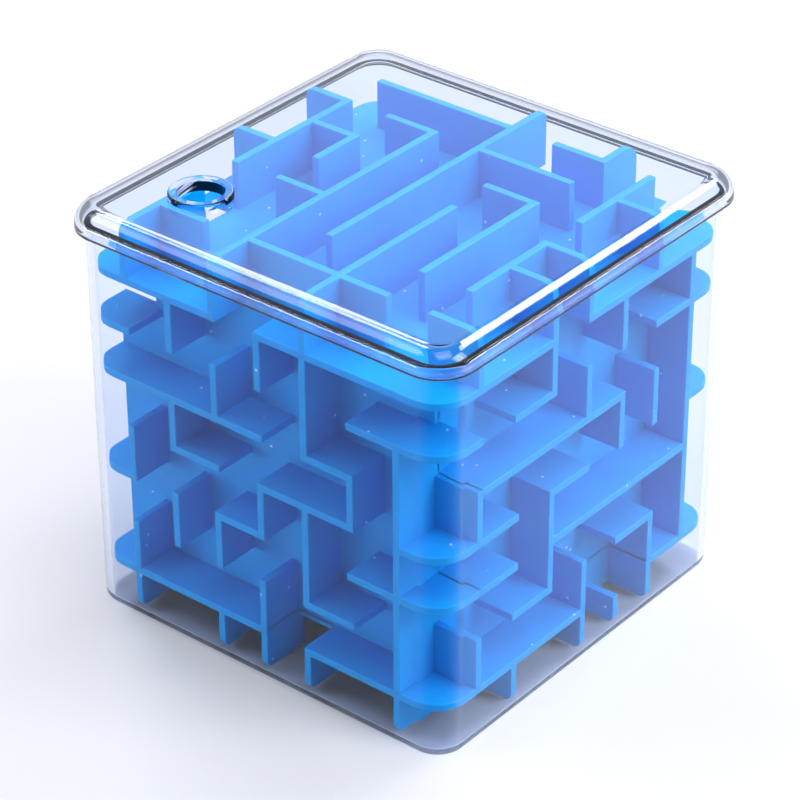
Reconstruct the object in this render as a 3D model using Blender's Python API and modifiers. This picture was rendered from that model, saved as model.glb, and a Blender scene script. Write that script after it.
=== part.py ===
"""Tilt maze cube: a clear case and lid around a core of six moulded maze panels, and a steel ball.

Metres, +Z up. The case stands on z = 0 and is centred on x = y = 0.
"""
import bmesh
import bpy
from mathutils import Vector

MM = 0.001

# The maze: corridors run on a square grid of lines numbered 0 to 6 on every face of the core.
PITCH = 9.5 * MM
LINES = 6                       # the last grid line
WALL = 1.4 * MM                 # thickness of every wall and plate
REACH_SIDE = 37.3 * MM          # how far the four side faces' walls stand out from the middle
REACH_TOP = 38.2 * MM
REACH_BOTTOM = 35.9 * MM
SEAM = 0.3 * MM                 # gap left wherever two pieces meet
FLANGE_CORNER = 5.0 * MM        # corner radius of the plates that wrap round the upright edges
TAB_CORNER = 1.4 * MM           # radius on the free corner of a wall that ends over an edge
ROUND_TAB = ("top", 5)          # the upright wall of this panel and line has a rounder corner
ROUND_TAB_CORNER = 3.0 * MM

# The clear case and its lid
CASE_WALL = 1.2 * MM            # walls and floor
CASE_HALF = 38.85 * MM
CASE_CORNER = 5.4 * MM
CASE_FOOT = 1.2 * MM            # radius of the edge between the walls and the floor
CASE_DROP = 1.7 * MM            # from the top of the maze down to the rim, clear of the lid's round edge
LID_WALL = 1.35 * MM            # plate and skirt
LID_HALF = 40.5 * MM
LID_CORNER = 6.8 * MM
LID_EDGE = 4.0 * MM             # radius of the edge round the top
LID_SKIRT = 3.4 * MM            # from the underside of the lid's plate to the lower end of its skirt
HOLE_RADIUS = 4.1 * MM
RING_RADIUS = 5.5 * MM
RING_HEIGHT = 1.0 * MM

BALL_RADIUS = 3.0 * MM
BALL_GAP = 0.1 * MM             # between the ball and the plate that it lies on

HALF_PLATE = WALL / 2
EDGE_LINE = PITCH * LINES / 2                   # lines 0 and 6, where the plates lie
INSIDE = EDGE_LINE - HALF_PLATE                 # inner side of the plates
OUTSIDE = EDGE_LINE + HALF_PLATE                # outer side, which is the floor of the corridors
SIDE_END = INSIDE - SEAM                        # where a panel stops short of its neighbour
CENTRE_Z = REACH_BOTTOM + SEAM + CASE_WALL      # middle of the core above the table

# Each face of the maze as a plan. Columns follow +X (or +Y on the left and right faces), rows
# follow +Z from the top down (or +Y on the top and bottom faces). '|' and '-' are walls that stand
# on the plate; the outermost column or row is the strip that wraps over the edge of the core.
MAZE_TOP = (
    "       |   |   ",
    " ------+ --+ | ",
    "       |     | ",
    "-+ --+ +---- +-",
    " |   | |     | ",
    " +-+ | | --+ | ",
    " | | | |   |   ",
    "-+ | | | | | +-",
    " |   | | | | | ",
    " | --+ | | | +-",
    "     | | | | | ",
    " |   | | | | | ",
    " |   |   |     ",
    " +-- +---+-- --",
    " |   |   |     ",
)
MAZE_BOTTOM = (
    "   |     |     ",
    " | +-+---+-+   ",
    " |   |   | |   ",
    " +-- | | | | +-",
    " |   | | |   | ",
    "-+ --+-+ +-+ +-",
    " |   |     | | ",
    " +-+ | | --+ +-",
    "   | | |   | | ",
    "-+ | | +-+-+ | ",
    " | | |   | |   ",
    " | | +-- | | +-",
    " |           | ",
    " +---+ | +---+ ",
    " |   | | |   | ",
)
MAZE_FRONT = (
    "   |   | |     ",
    "-- | | | | --+-",
    "     |   |   | ",
    "---+-+-- +-+ | ",
    "   |       | | ",
    " | +-- +-+-+ +-",
    " |     | |   | ",
    "-+ | +-+ | --+-",
    "   | |   |   | ",
    " | | | | +-- | ",
    " |     |     | ",
)
MAZE_BACK = (
    " | |       |   ",
    " | | +---- | --",
    " | | |     |   ",
    "-+ +-+---- | | ",
    "   |         | ",
    " | | +-+-+ --+-",
    " |   | | |   | ",
    "-+ --+ | +-+ | ",
    " |   |     |   ",
    " | | +---+ | | ",
    " | |     |   | ",
)
MAZE_RIGHT = (
    "     |   |   | ",
    "-- --+ | | --+-",
    "       |     | ",
    " +-----+-+ | | ",
    " |       | | | ",
    "-+-- +-- | | +-",
    "     |       | ",
    "---- +-------+ ",
    "     |       | ",
    " | --+ | --+ | ",
    " |     |   | | ",
)
MAZE_LEFT = (
    "             | ",
    "-+ +-+ +---- | ",
    " | | | |     | ",
    "-+-+ +-+---+ | ",
    " |     |   | | ",
    " | ----+-+ | | ",
    " |       | |   ",
    "-+ --+-+ | | | ",
    " |   | | |   | ",
    " | | | +-+-- | ",
    " | |         | ",
)
# Where the ball can pass from one face to the next over an edge: (edge, from line, to line)
GATES_TOP = (("front", 2, 3), ("right", 2, 3), ("back", 3, 4), ("left", 1, 2))
GATES_BOTTOM = (("front", 3, 4), ("right", 3, 5), ("back", 4, 5), ("left", 1, 2))

BALL_LANE = (1, 4)              # the ball lies between these lines at the foot of the back face
HOLE_CELL = (0, 0)              # the hole in the lid is over the middle of this cell of the top face


# ---------------------------------------------------------------- blocks and plates

def line_at(number):
    """Distance of a grid line from the middle of the core."""
    return (number - LINES / 2) * PITCH


def to_world(face, u, v, w):
    """Turn a face's own directions (across, along, outwards) into the scene's."""
    spots = {
        "top": (u, v, w), "bottom": (u, v, -w), "front": (u, -w, v),
        "back": (u, w, v), "right": (w, u, v), "left": (-w, u, v),
    }
    x, y, z = spots[face]
    return Vector((x, y, z + CENTRE_Z))


def add_block(collection, name, face, low, high, rounded=None):
    """A box from low to high in a face's directions; rounded = (points on edges, radius)."""
    a = to_world(face, *low)
    b = to_world(face, *high)
    bpy.ops.mesh.primitive_cube_add(size=1, location=(a + b) / 2)
    block = bpy.context.object
    block.name = name
    block.scale = [abs(end - start) for start, end in zip(a, b)]
    bpy.ops.object.transform_apply(location=True, scale=True)
    for vert in block.data.vertices:
        # Blocks that share a plane then have exactly the same coordinate there.
        vert.co = [round(value, 6) for value in vert.co]
    if rounded:
        points, radius = rounded
        round_edges(block, [to_world(face, *point) for point in points], radius)
    move_to(block, collection)
    return block


def round_edges(block, points, radius):
    """Round each edge of a block that a given point, such as its middle, lies on."""
    mesh = bmesh.new()
    mesh.from_mesh(block.data)
    edges = []
    for edge in mesh.edges:
        start, end = (vert.co for vert in edge.verts)
        along = (end - start).normalized()
        if any((point - start).cross(along).length < 1e-6 for point in points):
            edges.append(edge)
    bmesh.ops.bevel(mesh, geom=edges, offset=radius, segments=5, profile=0.5, affect='EDGES')
    mesh.to_mesh(block.data)
    mesh.free()


def move_to(obj, collection):
    for old in list(obj.users_collection):
        old.objects.unlink(obj)
    collection.objects.link(obj)


def combine(obj, operation, tools):
    """Join a collection of blocks to an object, or cut it with them."""
    modifier = obj.modifiers.new(operation.lower(), 'BOOLEAN')
    modifier.operation = operation
    modifier.operand_type = 'COLLECTION'
    modifier.collection = tools
    modifier.solver = 'EXACT'


def tool_collection(name):
    tools = bpy.data.collections.new(name)
    bpy.context.scene.collection.children.link(tools)
    tools.hide_render = True
    return tools


def finish_tools(tools):
    for tool in tools.objects:
        tool.hide_render = True
        tool.display_type = 'WIRE'


# ---------------------------------------------------------------- reading the plans

def level_walls(plan):
    """Walls drawn with '-': (line, from line, to line), where -1 and 7 are past the edges."""
    top_gap = (len(plan) - 1) // 2 - (0 if len(plan) < 15 else 1)
    walls = []
    for row in range(1, len(plan), 2):
        cells = [column // 2 for column in range(0, 15, 2) if plan[row][column] == '-']
        walls += [(top_gap - row // 2, start - 1, end) for start, end in runs(cells)]
    return walls


def upright_walls(plan):
    """Walls drawn with '|': (line, from line, to line)."""
    top_gap = (len(plan) - 1) // 2 - (0 if len(plan) < 15 else 1)
    walls = []
    for column in range(1, 15, 2):
        gaps = [top_gap - row // 2 for row in range(0, len(plan), 2) if plan[row][column] == '|']
        walls += [(column // 2, start, end + 1) for start, end in runs(sorted(gaps))]
    return walls


def runs(numbers):
    """Join neighbouring whole numbers into (first, last) pairs."""
    found = []
    for number in numbers:
        if found and found[-1][1] == number - 1:
            found[-1][1] = number
        else:
            found.append([number, number])
    return found


def wall_span(start, end, reach):
    """Both ends of a wall between two grid lines, out to reach where it runs past the edge."""
    low = -reach if start < 0 else line_at(start) - HALF_PLATE
    high = reach if end > LINES else line_at(end) + HALF_PLATE
    return max(low, -reach), min(high, reach)


# ---------------------------------------------------------------- the maze panels

def level_panel(face, plan, gates, reach):
    """The top or bottom panel: a plate that reaches over all four edges, with its walls."""
    sides = (-REACH_SIDE, REACH_SIDE)
    corners = [(x, y, EDGE_LINE) for x in sides for y in sides]
    plate = add_block(parts, "maze_" + face, face, (-REACH_SIDE, -REACH_SIDE, INSIDE),
                      (REACH_SIDE, REACH_SIDE, OUTSIDE), (corners, FLANGE_CORNER))
    walls = tool_collection(face + "_walls")
    for line, start, end in level_walls(plan):
        low, high = wall_span(start, end, REACH_SIDE)
        add_block(walls, face + "_wall", face, (low, line_at(line) - HALF_PLATE, EDGE_LINE),
                  (high, line_at(line) + HALF_PLATE, reach),
                  free_corners(start, end, lambda side: (side, line_at(line), reach)))
    for line, start, end in upright_walls(plan):
        low, high = wall_span(start, end, REACH_SIDE)
        radius = ROUND_TAB_CORNER if (face, line) == ROUND_TAB else TAB_CORNER
        add_block(walls, face + "_wall", face, (line_at(line) - HALF_PLATE, low, EDGE_LINE),
                  (line_at(line) + HALF_PLATE, high, reach),
                  free_corners(start, end, lambda side: (line_at(line), side, reach), radius))
    combine(plate, 'UNION', walls)
    cuts = tool_collection(face + "_gates")
    for edge, start, end in gates:
        add_gate(cuts, face, edge, line_at(start) + HALF_PLATE, line_at(end) - HALF_PLATE)
    combine(plate, 'DIFFERENCE', cuts)
    finish_tools(walls)
    finish_tools(cuts)
    return plate


def free_corners(start, end, point, radius=TAB_CORNER):
    """The middle of each upper outer edge of a wall that runs past the edge of the core."""
    sides = [side for side, past in ((-REACH_SIDE, start < 0), (REACH_SIDE, end > LINES)) if past]
    if not sides:
        return None
    return [point(side) for side in sides], radius


def add_gate(cuts, face, edge, low, high):
    """Cut the overhanging strip of a plate away between two walls."""
    inner, outer = OUTSIDE, REACH_SIDE + PITCH
    spans = {
        "front": ((low, -outer), (high, -inner)), "back": ((low, inner), (high, outer)),
        "left": ((-outer, low), (-inner, high)), "right": ((inner, low), (outer, high)),
    }
    start, end = spans[edge]
    add_block(cuts, face + "_gate", face, (*start, INSIDE - WALL), (*end, OUTSIDE + WALL))


def end_panel(face, plan, left_plan, right_plan, line):
    """The front or back panel, with the plates that wrap round its upright edges.

    Its own plate also runs on past those edges as tabs, which are drawn as the line nearest
    to it (line 0 for the front panel, 6 for the back) on the left and right faces' plans.
    """
    plate = add_block(parts, "maze_" + face, face, (-OUTSIDE, -SIDE_END, INSIDE),
                      (OUTSIDE, SIDE_END, OUTSIDE))
    walls = tool_collection(face + "_walls")
    for level, start, end in level_walls(plan):
        bottom, top = line_at(level) - HALF_PLATE, line_at(level) + HALF_PLATE
        low, high = wall_span(max(start, 0), min(end, LINES), REACH_SIDE)
        add_block(walls, face + "_wall", face, (low, bottom, EDGE_LINE), (high, top, REACH_SIDE))
        for side, past in ((-1, start < 0), (1, end > LINES)):
            if past:
                add_corner_plate(walls, face, side, bottom, top)
    for column, start, end in upright_walls(plan):
        low, high = wall_span(start, end, SIDE_END)
        add_block(walls, face + "_wall", face, (line_at(column) - HALF_PLATE, low, EDGE_LINE),
                  (line_at(column) + HALF_PLATE, high, REACH_SIDE))
    for side, side_plan in ((-1, left_plan), (1, right_plan)):
        for column, start, end in upright_walls(side_plan):
            if column == line:
                low, high = wall_span(start, end, SIDE_END)
                add_block(walls, face + "_tab", face, (side * EDGE_LINE, low, INSIDE),
                          (side * REACH_SIDE, high, OUTSIDE))
    combine(plate, 'UNION', walls)
    finish_tools(walls)
    return plate


def add_corner_plate(walls, face, side, bottom, top):
    """A square plate round an upright edge of the core, with its outer corner rounded."""
    add_block(walls, face + "_corner", face, (side * INSIDE, bottom, INSIDE),
              (side * REACH_SIDE, top, REACH_SIDE),
              ([(side * REACH_SIDE, (bottom + top) / 2, REACH_SIDE)], FLANGE_CORNER))


def side_panel(face, plan):
    """The left or right panel, which fits between the front and back panels."""
    plate = add_block(parts, "maze_" + face, face, (-SIDE_END, -SIDE_END, INSIDE),
                      (SIDE_END, SIDE_END, OUTSIDE))
    walls = tool_collection(face + "_walls")
    for level, start, end in level_walls(plan):
        if end > 0 and start < LINES:
            low, high = wall_span(max(start, 0), min(end, LINES), SIDE_END)
            add_block(walls, face + "_wall", face, (low, line_at(level) - HALF_PLATE, EDGE_LINE),
                      (high, line_at(level) + HALF_PLATE, REACH_SIDE))
    for column, start, end in upright_walls(plan):
        if 0 < column < LINES:
            low, high = wall_span(start, end, SIDE_END)
            add_block(walls, face + "_wall", face, (line_at(column) - HALF_PLATE, low, EDGE_LINE),
                      (line_at(column) + HALF_PLATE, high, REACH_SIDE))
    combine(plate, 'UNION', walls)
    finish_tools(walls)
    return plate


# ---------------------------------------------------------------- case, lid and ball

def open_box(name, half, low, high, corner, closed_top, edge, thickness):
    """A thin square cover with rounded upright edges, open at one end, as one closed solid."""
    bpy.ops.mesh.primitive_cube_add(size=1, location=(0, 0, (low + high) / 2))
    box = bpy.context.object
    box.name = name
    box.scale = (2 * half, 2 * half, high - low)
    bpy.ops.object.transform_apply(location=True, scale=True)
    mesh = bmesh.new()
    mesh.from_mesh(box.data)
    upright = [e for e in mesh.edges if abs(e.verts[0].co.z - e.verts[1].co.z) > thickness]
    bmesh.ops.bevel(mesh, geom=upright, offset=corner, segments=8, profile=0.5, affect='EDGES')
    closed_z = high if closed_top else low
    rim = [e for e in mesh.edges if all(abs(v.co.z - closed_z) < 1e-6 for v in e.verts)]
    bmesh.ops.bevel(mesh, geom=rim, offset=edge, segments=4, profile=0.5, affect='EDGES')
    open_z = low if closed_top else high
    mouth = [f for f in mesh.faces if all(abs(v.co.z - open_z) < 1e-6 for v in f.verts)]
    bmesh.ops.delete(mesh, geom=mouth, context='FACES')
    mesh.to_mesh(box.data)
    mesh.free()
    shell = box.modifiers.new("wall", 'SOLIDIFY')
    shell.thickness = thickness
    shell.offset = -1
    shell.use_even_offset = True
    move_to(box, parts)
    return box


def make_case():
    top = CENTRE_Z + REACH_TOP - CASE_DROP
    case = open_box("clear_case", CASE_HALF, 0, top, CASE_CORNER, False, CASE_FOOT, CASE_WALL)
    return case


def make_lid():
    """The lid, with the hole that the ball goes in by and the raised ring round it."""
    under = CENTRE_Z + REACH_TOP + SEAM
    top = under + LID_WALL
    lid = open_box("clear_lid", LID_HALF, under - LID_SKIRT, top, LID_CORNER, True, LID_EDGE, LID_WALL)
    spot = [line_at(cell) + PITCH / 2 for cell in HOLE_CELL]
    ring = tool_collection("lid_ring")
    add_disc(ring, "ring", spot, RING_RADIUS, top - LID_WALL / 2, top + RING_HEIGHT)
    combine(lid, 'UNION', ring)
    bore = tool_collection("lid_bore")
    add_disc(bore, "bore", spot, HOLE_RADIUS, under - LID_WALL, top + RING_HEIGHT + LID_WALL)
    combine(lid, 'DIFFERENCE', bore)
    finish_tools(ring)
    finish_tools(bore)
    return lid


def add_disc(collection, name, spot, radius, low, high):
    bpy.ops.mesh.primitive_cylinder_add(vertices=48, radius=radius, depth=high - low,
                                        location=(spot[0], spot[1], (low + high) / 2))
    disc = bpy.context.object
    disc.name = name
    move_to(disc, collection)


def make_ball():
    start, end = (line_at(line) for line in BALL_LANE)
    height = CENTRE_Z - INSIDE + BALL_GAP + BALL_RADIUS
    depth = (OUTSIDE + CASE_HALF - CASE_WALL) / 2
    bpy.ops.mesh.primitive_uv_sphere_add(segments=32, ring_count=16, radius=BALL_RADIUS,
                                         location=((start + end) / 2, depth, height))
    ball = bpy.context.object
    ball.name = "steel_ball"
    move_to(ball, parts)
    return ball


# ---------------------------------------------------------------- materials

def paint(obj, name, colour, roughness, metallic=0.0, alpha=1.0, clear=0.0):
    material = bpy.data.materials.new(name)
    material.use_nodes = True
    shader = material.node_tree.nodes["Principled BSDF"]
    shader.inputs["Base Color"].default_value = (*colour, 1.0)
    shader.inputs["Roughness"].default_value = roughness
    shader.inputs["Metallic"].default_value = metallic
    shader.inputs["Alpha"].default_value = alpha
    shader.inputs["Transmission Weight"].default_value = clear
    obj.data.materials.clear()
    obj.data.materials.append(material)


# ---------------------------------------------------------------- assembly

for old in list(bpy.data.objects):
    bpy.data.objects.remove(old, do_unlink=True)

parts = bpy.data.collections.new("tilt_maze_cube")
bpy.context.scene.collection.children.link(parts)

panels = [
    level_panel("top", MAZE_TOP, GATES_TOP, REACH_TOP),
    level_panel("bottom", MAZE_BOTTOM, GATES_BOTTOM, REACH_BOTTOM),
    end_panel("front", MAZE_FRONT, MAZE_LEFT, MAZE_RIGHT, 0),
    end_panel("back", MAZE_BACK, MAZE_LEFT, MAZE_RIGHT, LINES),
    side_panel("left", MAZE_LEFT),
    side_panel("right", MAZE_RIGHT),
]
for panel in panels:
    paint(panel, panel.name + "_blue", (0.03, 0.22, 0.80), 0.25)
paint(make_case(), "case_clear", (0.90, 0.94, 0.98), 0.05, alpha=0.2, clear=1.0)
paint(make_lid(), "lid_clear", (0.90, 0.94, 0.98), 0.05, alpha=0.2, clear=1.0)
paint(make_ball(), "ball_steel", (0.75, 0.76, 0.78), 0.12, metallic=1.0)
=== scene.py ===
import math
import bpy
from mathutils import Euler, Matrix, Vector


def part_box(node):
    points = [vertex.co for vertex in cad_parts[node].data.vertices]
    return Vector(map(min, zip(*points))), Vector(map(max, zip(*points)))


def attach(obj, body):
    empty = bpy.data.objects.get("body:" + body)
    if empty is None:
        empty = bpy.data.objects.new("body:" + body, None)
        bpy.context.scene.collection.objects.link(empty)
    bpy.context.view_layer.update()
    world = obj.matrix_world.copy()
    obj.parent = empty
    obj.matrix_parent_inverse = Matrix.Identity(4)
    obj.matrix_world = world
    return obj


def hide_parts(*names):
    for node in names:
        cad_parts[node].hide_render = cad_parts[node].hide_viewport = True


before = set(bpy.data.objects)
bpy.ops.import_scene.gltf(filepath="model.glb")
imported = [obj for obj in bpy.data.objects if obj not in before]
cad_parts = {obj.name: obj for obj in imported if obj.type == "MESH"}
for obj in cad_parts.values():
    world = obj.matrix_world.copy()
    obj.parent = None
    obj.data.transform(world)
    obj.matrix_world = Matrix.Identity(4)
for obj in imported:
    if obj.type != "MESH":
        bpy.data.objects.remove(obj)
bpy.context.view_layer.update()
print("frame loaded:", len(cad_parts), "parts")

mm = 0.001
scene = bpy.context.scene
scene.view_settings.view_transform = "Standard"  # keeps the blue as strong as it is on the real toy

caseLow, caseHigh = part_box("clear_case")
lidLow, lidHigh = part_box("clear_lid")
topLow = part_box("maze_top")[0]
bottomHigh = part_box("maze_bottom")[1]
ballLow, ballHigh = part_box("steel_ball")


nearlyFlat = 0.001 * mm      # how far a point may lie from a plane and still be on it
smoothAngle = 35             # degrees: sharper edges than this stay sharp


def deselectAll():
    if bpy.context.mode != "OBJECT":
        bpy.ops.object.mode_set(mode="OBJECT")
    bpy.ops.object.select_all(action="DESELECT")


def makeActive(piece):
    deselectAll()
    piece.select_set(True)
    bpy.context.view_layer.objects.active = piece


def pickEdges(piece, test):
    # piece is in edit mode; the selection is made with the mesh out of it
    bpy.ops.mesh.select_mode(type="EDGE")
    bpy.ops.mesh.select_all(action="DESELECT")
    bpy.ops.object.mode_set(mode="OBJECT")
    mesh = piece.data
    for edge in mesh.edges:
        ends = [mesh.vertices[i].co for i in edge.vertices]
        edge.select = test(ends[0], ends[1])
    bpy.ops.object.mode_set(mode="EDIT")


def pickFaces(piece, test):
    bpy.ops.mesh.select_mode(type="FACE")
    bpy.ops.mesh.select_all(action="DESELECT")
    bpy.ops.object.mode_set(mode="OBJECT")
    for face in piece.data.polygons:
        face.select = test(face)
    bpy.ops.object.mode_set(mode="EDIT")


def applyAll(piece):
    makeActive(piece)
    for modifier in list(piece.modifiers):
        bpy.ops.object.modifier_apply(modifier=modifier.name)


def smoothFaces(piece):
    # flat faces stay flat next to rounded edges because the normals are weighted by area
    makeActive(piece)
    bpy.ops.object.shade_smooth_by_angle(angle=math.radians(smoothAngle))
    weighted = piece.modifiers.new("even normals", "WEIGHTED_NORMAL")
    weighted.keep_sharp = True
    weighted.weight = 80
    applyAll(piece)


def hexColor(code):
    # sRGB hex to the linear values that shaders take
    parts = [int(code[i:i + 2], 16) / 255 for i in (0, 2, 4)]
    linear = [c / 12.92 if c <= 0.04045 else ((c + 0.055) / 1.055) ** 2.4 for c in parts]
    return (*linear, 1.0)


def addNode(material, kind, settings=None, inputs=None):
    # inputs: socket name or index -> a value, or (node, output) to link from
    tree = material.node_tree
    node = tree.nodes.new(kind)
    for key, value in (settings or {}).items():
        setattr(node, key, value)
    for key, value in (inputs or {}).items():
        if isinstance(value, tuple) and hasattr(value[0], "outputs"):
            tree.links.new(value[0].outputs[value[1]], node.inputs[key])
        else:
            node.inputs[key].default_value = value
    return node


def newMaterial(name):
    material = bpy.data.materials.new(name)
    material.use_nodes = True
    material.node_tree.nodes.clear()
    return material


def coordinates(material):
    return addNode(material, "ShaderNodeTexCoord"), "Object"


clearPlasticLook = {
    "tint": "F0F5FF",
    "ior": 1.5,                # clear moulded polystyrene
    "roughness": 0.01,
    "waveSize": 14 * mm,       # slow ripple left by the mould, seen only in reflections
    "waveHeight": 0.008 * mm,
    "depthTint": "B8C4D8",     # what the plastic lets through, deep inside
    "depthDensity": 40.0,      # per metre
    "lampTint": "F2F6FC",      # what is left of a lamp's light behind a clear wall
}


def clearPolystyrene(name, reflection):
    # crystal polystyrene, moulded against polished steel: bright, thin edges and clean reflections
    look = clearPlasticLook
    material = newMaterial(name)
    place = coordinates(material)
    ripple = addNode(material, "ShaderNodeTexNoise", None, {
        "Vector": place, "Scale": 1 / look["waveSize"], "Detail": 1.0})
    bump = addNode(material, "ShaderNodeBump", None, {
        "Height": (ripple, "Fac"), "Distance": look["waveHeight"], "Strength": 1.0})
    surface = addNode(material, "ShaderNodeBsdfPrincipled", None, {
        "Base Color": hexColor(look["tint"]), "Roughness": look["roughness"], "IOR": look["ior"],
        "Transmission Weight": 1.0, "Specular Tint": hexColor(reflection),
        "Normal": (bump, "Normal")})
    rays = addNode(material, "ShaderNodeLightPath")
    # lamps shine through the clear walls, as they do through thin clean plastic
    through = addNode(material, "ShaderNodeBsdfTransparent", None, {
        "Color": hexColor(look["lampTint"])})
    mixed = addNode(material, "ShaderNodeMixShader", None, {
        0: (rays, "Is Shadow Ray"), 1: (surface, "BSDF"), 2: (through, "BSDF")})
    # a long way through the plastic, as at an upright corner, comes out greyer than a short one
    depth = addNode(material, "ShaderNodeVolumeAbsorption", None, {
        "Color": hexColor(look["depthTint"]), "Density": look["depthDensity"]})
    addNode(material, "ShaderNodeOutputMaterial", None, {
        "Surface": (mixed, "Shader"), "Volume": (depth, "Volume")})
    return material


bluePlasticLook = {
    "deep": "0898DC",
    "bright": "0EA6EE",
    "roughness": 0.2,
    "specular": 0.08,
    "glow": 0.3,               # share of the light that travels through the thin walls
    "glowDepth": 1.6 * mm,
    "cloudSize": 9 * mm,       # slow drift of pigment in the moulding
    "dustSize": 0.55 * mm,     # specks of dust that show as tiny pale dots
    "dustSpacing": 9,          # in sizes of a speck
    "dustColor": "C4DCFF",
    "rippleSize": 3.5 * mm,
    "rippleHeight": 0.02 * mm,
}


def bluePolystyrene(name):
    # dyed polystyrene, moulded: glossy, saturated, a little light coming through the thin walls
    look = bluePlasticLook
    material = newMaterial(name)
    place = coordinates(material)
    cloud = addNode(material, "ShaderNodeTexNoise", None, {
        "Vector": place, "Scale": 1 / look["cloudSize"], "Detail": 2.0})
    tone = addNode(material, "ShaderNodeMix", {"data_type": "RGBA"}, {
        0: (cloud, "Fac"), 6: hexColor(look["deep"]), 7: hexColor(look["bright"])})
    specks = addNode(material, "ShaderNodeTexVoronoi", None, {
        "Vector": place, "Scale": 1 / (look["dustSize"] * look["dustSpacing"])})
    dust = addNode(material, "ShaderNodeMapRange", None, {
        0: (specks, "Distance"), 1: 0.045, 2: 0.06, 3: 1.0, 4: 0.0})
    colour = addNode(material, "ShaderNodeMix", {"data_type": "RGBA"}, {
        0: (dust, 0), 6: (tone, 2), 7: hexColor(look["dustColor"])})
    ripple = addNode(material, "ShaderNodeTexNoise", None, {
        "Vector": place, "Scale": 1 / look["rippleSize"], "Detail": 2.0})
    bump = addNode(material, "ShaderNodeBump", None, {
        "Height": (ripple, "Fac"), "Distance": look["rippleHeight"], "Strength": 1.0})
    shader = addNode(material, "ShaderNodeBsdfPrincipled", None, {
        "Base Color": (colour, 2), "Roughness": look["roughness"],
        "Specular IOR Level": look["specular"], "Subsurface Weight": look["glow"],
        "Subsurface Radius": (0.3, 0.7, 1.0), "Subsurface Scale": look["glowDepth"],
        "Normal": (bump, "Normal")})
    addNode(material, "ShaderNodeOutputMaterial", None, {"Surface": (shader, "BSDF")})
    return material


def bearingSteel(name):
    # hardened and polished ball steel: a near mirror with a faint haze
    material = newMaterial(name)
    place = coordinates(material)
    haze = addNode(material, "ShaderNodeTexNoise", None, {
        "Vector": place, "Scale": 1 / (0.8 * mm), "Detail": 3.0})
    rough = addNode(material, "ShaderNodeMapRange", None, {
        0: (haze, "Fac"), 1: 0.3, 2: 0.7, 3: 0.06, 4: 0.16})
    shader = addNode(material, "ShaderNodeBsdfPrincipled", None, {
        "Base Color": hexColor("C9CBD0"), "Metallic": 1.0, "Roughness": (rough, 0)})
    addNode(material, "ShaderNodeOutputMaterial", None, {"Surface": (shader, "BSDF")})
    return material


# the maze is six moulded panels; thin seams stay visible at some of their meeting edges
mazePanels = {
    "seamGap": 0.3 * mm,         # between a side panel and the plates above and below it
    "seamOverlap": 0.6 * mm,     # a panel's edge sinks this far into its neighbour
    "seamReach": 0.02 * mm,      # points this near a panel's end belong to its edge
    "edgeRadius": 0.16 * mm,     # softened edges of the moulding
    "mergeDistance": 0.005 * mm,
}


def joinSeams(mesh, node, panelEnd):
    # side panels stop just short of the plates above and below; this closes most of the gap
    middle = (topLow[2] + bottomHigh[2]) / 2
    grow = mazePanels["seamGap"] + mazePanels["seamOverlap"]
    near = mazePanels["seamReach"]
    for vert in mesh.vertices:
        height = vert.co.z - middle
        if abs(abs(height) - panelEnd) < near:
            vert.co.z += math.copysign(grow, height)
        if node in ("maze_left", "maze_right") and abs(abs(vert.co.y) - panelEnd) < near:
            vert.co.y += math.copysign(grow, vert.co.y)


def makeMazePanel(node, name, material):
    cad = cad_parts[node]
    panel = bpy.data.objects.new(name, cad.data.copy())
    bpy.context.collection.objects.link(panel)
    panel.data.materials.clear()
    panel.data.materials.append(material)
    makeActive(panel)
    bpy.ops.object.mode_set(mode="EDIT")
    bpy.ops.mesh.select_all(action="SELECT")
    bpy.ops.mesh.remove_doubles(threshold=mazePanels["mergeDistance"])
    bpy.ops.mesh.dissolve_limited(angle_limit=math.radians(1))
    bpy.ops.object.mode_set(mode="OBJECT")
    if node not in ("maze_top", "maze_bottom"):
        joinSeams(panel.data, node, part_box("maze_left")[1][1])
    soften = panel.modifiers.new("soft edges", "BEVEL")
    soften.width = mazePanels["edgeRadius"]
    soften.segments = 2
    soften.limit_method = "ANGLE"
    soften.angle_limit = math.radians(40)
    soften.use_clamp_overlap = True
    applyAll(panel)
    smoothFaces(panel)
    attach(panel, "case")
    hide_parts(node)


blueMaterial = bluePolystyrene("moulded blue polystyrene")
mazeNodes = ("maze_top", "maze_bottom", "maze_front", "maze_back", "maze_left", "maze_right")
for node in mazeNodes:
    side = node.split("_")[1]
    makeMazePanel(node, side + "MazePanel", blueMaterial)
print("maze panels made")


caseShape = {
    "corner": 5.4 * mm, "foot": 1.4 * mm, "wall": 1.2 * mm, "rim": 0.3 * mm,
}
lidShape = {
    "corner": 6.8 * mm, "edge": 4.0 * mm, "wall": 1.35 * mm, "rim": 0.3 * mm,
    "ringOuter": 5.5 * mm, "ringHeight": 1.0 * mm, "hole": 4.1 * mm,
    "holeX": -23.75 * mm, "holeY": -23.75 * mm,
}


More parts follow.
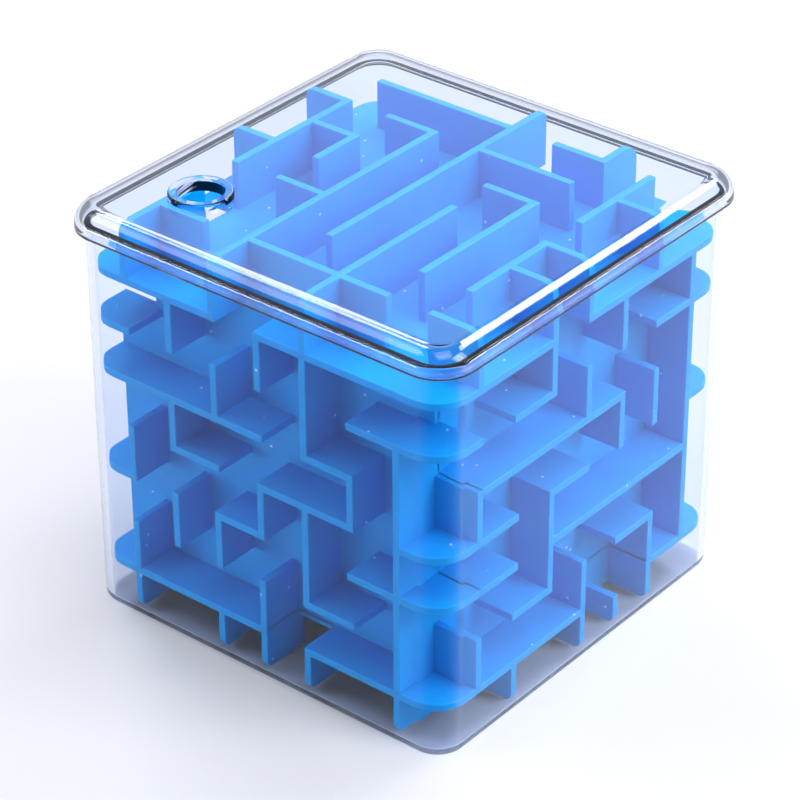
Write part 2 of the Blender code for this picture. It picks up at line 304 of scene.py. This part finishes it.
def roundedCover(name, low, high, corner, edge, closedTop):
    # a block with rounded uprights and one rounded end, the other end taken off
    size = [high[i] - low[i] for i in range(3)]
    middle = [(high[i] + low[i]) / 2 for i in range(3)]
    deselectAll()
    bpy.ops.mesh.primitive_cube_add(size=1, location=middle)
    cover = bpy.context.object
    cover.name = name
    cover.scale = size
    bpy.ops.object.transform_apply(location=True, scale=True)
    bpy.ops.object.mode_set(mode="EDIT")
    pickEdges(cover, lambda a, b: abs(a.z - b.z) > size[2] / 2)
    bpy.ops.mesh.bevel(offset=corner, segments=14, profile=0.5)
    closed = high[2] if closedTop else low[2]
    opened = low[2] if closedTop else high[2]
    pickEdges(cover, lambda a, b: abs(a.z - closed) < nearlyFlat and abs(b.z - closed) < nearlyFlat)
    bpy.ops.mesh.bevel(offset=edge, segments=8, profile=0.5)
    pickFaces(cover, lambda face: abs(face.center.z - opened) < nearlyFlat)
    bpy.ops.mesh.delete(type="FACE")
    bpy.ops.object.mode_set(mode="OBJECT")
    return cover


def thicken(cover, wall, rim):
    makeActive(cover)
    shell = cover.modifiers.new("wall", "SOLIDIFY")
    shell.thickness = wall
    shell.offset = -1
    shell.use_even_offset = True
    soft = cover.modifiers.new("soft rim", "BEVEL")
    soft.width = rim
    soft.segments = 3
    soft.limit_method = "ANGLE"
    soft.angle_limit = math.radians(60)
    applyAll(cover)


def makeCase(material):
    case = roundedCover("clearCaseShell", caseLow, caseHigh, caseShape["corner"],
                        caseShape["foot"], False)
    thicken(case, caseShape["wall"], caseShape["rim"])
    smoothFaces(case)
    case.data.materials.append(material)
    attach(case, "case")
    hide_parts("clear_case")


def addDisc(name, radius, low, high, bevel=0.0):
    spot = (lidShape["holeX"], lidShape["holeY"], (low + high) / 2)
    deselectAll()
    bpy.ops.mesh.primitive_cylinder_add(vertices=96, radius=radius, depth=high - low, location=spot)
    disc = bpy.context.object
    disc.name = name
    bpy.ops.object.transform_apply(location=True)
    if bevel:
        bpy.ops.object.mode_set(mode="EDIT")
        pickEdges(disc, lambda a, b: abs(a.z - high) < nearlyFlat and abs(b.z - high) < nearlyFlat)
        bpy.ops.mesh.bevel(offset=bevel, segments=4, profile=0.5)
        bpy.ops.object.mode_set(mode="OBJECT")
    return disc


def cutOrJoin(piece, tool, operation):
    step = piece.modifiers.new(operation, "BOOLEAN")
    step.operation = operation
    step.object = tool
    step.solver = "EXACT"
    applyAll(piece)
    bpy.data.objects.remove(tool)


def makeLid(material):
    look = lidShape
    plateTop = lidHigh[2] - look["ringHeight"]
    lid = roundedCover("clearLidShell", lidLow, (lidHigh[0], lidHigh[1], plateTop), look["corner"],
                       look["edge"], True)
    thicken(lid, look["wall"], look["rim"])
    ring = addDisc("ring", look["ringOuter"], plateTop - look["wall"] / 2, lidHigh[2], 0.45 * mm)
    cutOrJoin(lid, ring, "UNION")
    bore = addDisc("bore", look["hole"], plateTop - 3 * look["wall"], lidHigh[2] + look["wall"])
    cutOrJoin(lid, bore, "DIFFERENCE")
    smoothFaces(lid)
    lid.data.materials.append(material)
    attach(lid, "lid")
    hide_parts("clear_lid")


makeCase(clearPolystyrene("clear moulded polystyrene, case", "383838"))
makeLid(clearPolystyrene("clear moulded polystyrene, lid", "FFFFFF"))
print("case and lid made")


def makeBall(material):
    middle = [(ballLow[i] + ballHigh[i]) / 2 for i in range(3)]
    deselectAll()
    bpy.ops.mesh.primitive_ico_sphere_add(subdivisions=5, radius=(ballHigh[2] - ballLow[2]) / 2,
                                          location=middle)
    ball = bpy.context.object
    ball.name = "bearingBall"
    bpy.ops.object.transform_apply(location=True)
    bpy.ops.object.shade_smooth()
    ball.data.materials.append(material)
    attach(ball, "ball")
    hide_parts("steel_ball")


makeBall(bearingSteel("polished bearing steel"))
print("ball made")


studio = {
    "floorSize": 0.8, "floorColor": "F4F4F7", "sky": "F0F4FF", "skyStrength": 0.36,
    "lamps": {
        # name: power, width, height, spot
        "keyLight": (3.8, 0.45, 0.45, (0.72, 0.2, 0.62)),
        "overheadLight": (2.0, 0.5, 0.5, (0.3, -0.15, 0.9)),
        "backLight": (3.0, 0.36, 0.18, (0.1, 0.66, 0.745)),
        "leftLight": (1.8, 0.3, 0.16, (-0.54, 0.27, 0.79)),
        "frontLight": (1.4, 0.4, 0.4, (-0.54, -0.35, 0.76)),
        "hazePanel": (1.0, 1.0, 0.6, (-0.65, 0.79, 0.63)),
        "leftStrip": (1.0, 0.5, 0.03, (-0.45, -0.65, 0.05)),
        "rightStrip": (0.8, 0.4, 0.03, (0.6, 0.53, 0.08)),
    },
}


def makeStudio():
    deselectAll()
    bpy.ops.mesh.primitive_plane_add(size=studio["floorSize"], location=(0, 0, 0))
    floor = bpy.context.object
    floor.name = "studioFloor"
    paper = newMaterial("matt white card")
    card = addNode(paper, "ShaderNodeBsdfPrincipled", None, {
        "Base Color": hexColor(studio["floorColor"]), "Roughness": 0.6})
    addNode(paper, "ShaderNodeOutputMaterial", None, {"Surface": (card, "BSDF")})
    floor.data.materials.append(paper)
    world = bpy.data.worlds.new("soft room")
    world.use_nodes = True
    sky = world.node_tree.nodes["Background"]
    sky.inputs["Color"].default_value = hexColor(studio["sky"])
    sky.inputs["Strength"].default_value = studio["skyStrength"]
    scene.world = world
    for name, (power, width, height, spot) in studio["lamps"].items():
        lamp = bpy.data.lights.new(name, "AREA")
        lamp.energy = power
        lamp.shape = "RECTANGLE"
        lamp.size = width
        lamp.size_y = height
        holder = bpy.data.objects.new(name, lamp)
        holder.location = spot
        aim = Vector((0, 0, caseHigh[2] / 2)) - holder.location
        holder.rotation_euler = aim.to_track_quat("-Z", "Y").to_euler()
        scene.collection.objects.link(holder)


view = {
    "azimuth": 39.25, "elevation": 31.69, "roll": -0.206,   # degrees
    "distance": 558.7 * mm, "lens": 148.05,
    "right": -1.18 * mm, "up": -1.24 * mm,                  # the camera's own offset
    "targetHeight": 37.4 * mm,
}


def makeCamera():
    tilt = math.radians(90 - view["elevation"])
    turn = Euler((tilt, 0, math.radians(view["azimuth"]))).to_matrix()
    back = turn @ Vector((0, 0, 1))
    right = turn @ Vector((1, 0, 0))
    up = turn @ Vector((0, 1, 0))
    lens = bpy.data.cameras.new("camera")
    lens.lens = view["lens"]
    lens.sensor_width = 36
    lens.clip_end = 20
    camera = bpy.data.objects.new("camera", lens)
    target = Vector((0, 0, view["targetHeight"]))
    camera.location = target + back * view["distance"] + right * view["right"] + up * view["up"]
    roll = Euler((0, 0, math.radians(view["roll"]))).to_matrix()
    camera.rotation_euler = (turn @ roll).to_euler()
    scene.collection.objects.link(camera)
    scene.camera = camera


makeStudio()
makeCamera()
print("studio made")
